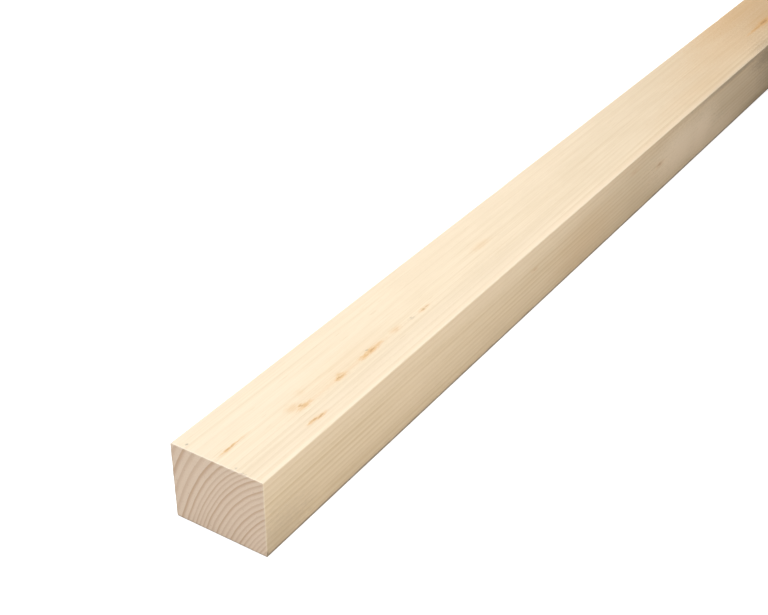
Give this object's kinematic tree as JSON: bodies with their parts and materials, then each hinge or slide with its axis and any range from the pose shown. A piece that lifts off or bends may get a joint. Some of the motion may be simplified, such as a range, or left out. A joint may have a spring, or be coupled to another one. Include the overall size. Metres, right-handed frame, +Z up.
{
  "type": "timber post",
  "caption": "Straight rectangular post of pale planed softwood with eased long edges and square saw-cut ends, used upright or laid flat as framing and support stock.",
  "frame": {"origin": "middle of the underside, the wide face that the post lies on", "axes": "+X along the grain, from the end that faces the viewer to the far end; +Y across the width; +Z up from the underside to the top face"},
  "size_m": [1.8, 0.05, 0.04],
  "materials": {
    "planed_softwood": "planed bare softwood, matt, pale cream with fine straight grain and small knots"
  },
  "bodies": {
    "root": {"timber_post": "planed_softwood"}
  },
  "joints": []
}
